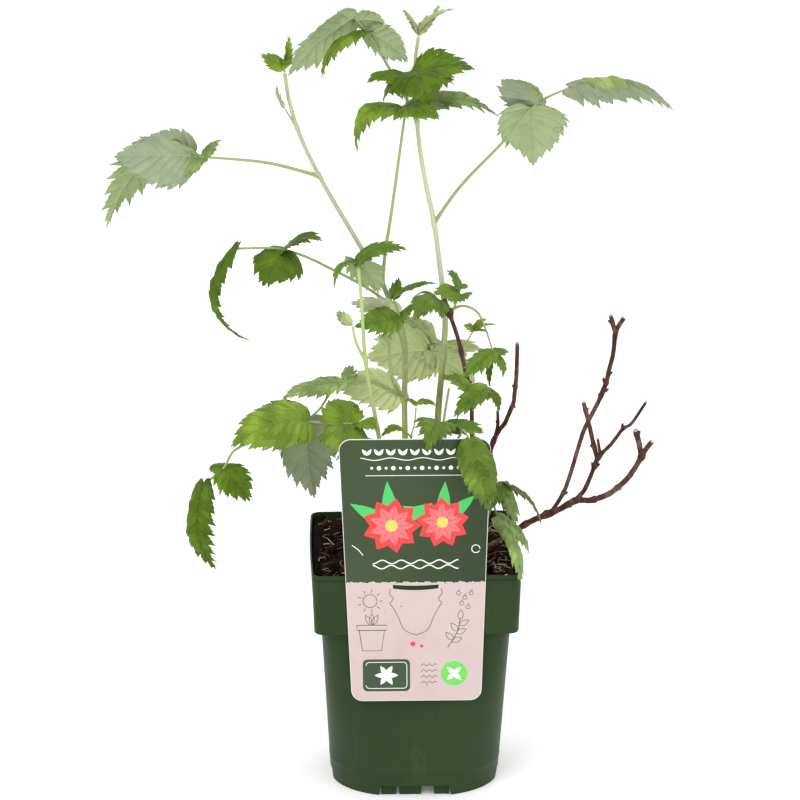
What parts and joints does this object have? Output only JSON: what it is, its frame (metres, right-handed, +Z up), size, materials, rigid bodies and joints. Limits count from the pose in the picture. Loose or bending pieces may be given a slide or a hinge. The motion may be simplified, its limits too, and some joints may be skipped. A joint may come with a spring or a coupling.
{
  "type": "raspberry plant in nursery pot",
  "caption": "Young raspberry cane with compound toothed leaves and cut old canes, standing in a square tapered plastic nursery pot with a clip-on card label.",
  "frame": {"origin": "centre of the pot's underside, on the plane that it stands on", "axes": "+Z up the pot's axis, -Y out of the side that the label hangs on, +X to the right of someone who reads the label"},
  "size_m": [0.3571, 0.1696, 0.5052],
  "materials": {
    "pot_plastic": "dark olive green, satin",
    "soil": "moist, crumbly",
    "label_card": "coated card, dark green above and pale pink below",
    "green_stem": "smooth green stem with fine prickles",
    "old_wood": "thin red-brown bark",
    "leaf": "soft matt leaf, paler below"
  },
  "bodies": {
    "root": {"pot": "pot_plastic", "soil": "soil", "label": "label_card", "cane_left": "green_stem", "cane_right": "green_stem", "cane_front": "green_stem", "shoot_front": "green_stem", "shoot_pale": "green_stem", "stem_hairy": "green_stem", "stem_thin": "green_stem", "stem_low": "green_stem", "stem_right": "green_stem", "stem_back": "green_stem", "stem_rear": "green_stem", "old_cane_cut": "old_wood", "old_cane_bent": "old_wood", "old_stub": "old_wood", "old_cane_long": "old_wood", "old_bough_back": "old_wood", "old_fork_back": "old_wood", "old_bough_middle": "old_wood", "old_fork_middle": "old_wood", "old_nub_middle": "old_wood", "old_bough_front": "old_wood", "old_fork_front": "old_wood", "leaf_high_left": "leaf", "leaf_top": "leaf", "leaf_tip_left": "leaf", "leaf_bud_left": "leaf", "leaf_centre": "leaf", "leaf_pale_tip": "leaf", "leaf_low_back": "leaf", "leaf_high_right": "leaf", "leaf_arching": "leaf", "leaf_tip_right": "leaf", "leaf_mid_left": "leaf", "leaf_backlit": "leaf", "leaf_front": "leaf", "leaf_front_bud": "leaf", "leaf_low_front": "leaf", "leaf_low_left": "leaf", "leaf_thin_tip": "leaf", "leaf_thin_side": "leaf", "leaf_label_top": "leaf", "leaf_label_right": "leaf", "leaf_right_low": "leaf", "leaf_right_rim": "leaf", "leaf_back_left": "leaf", "leaf_back_right": "leaf", "leaf_old_up": "leaf", "leaf_old_left": "leaf", "leaf_old_right": "leaf", "leaf_old_small": "leaf", "leaf_old_low": "leaf"}
  },
  "joints": []
}
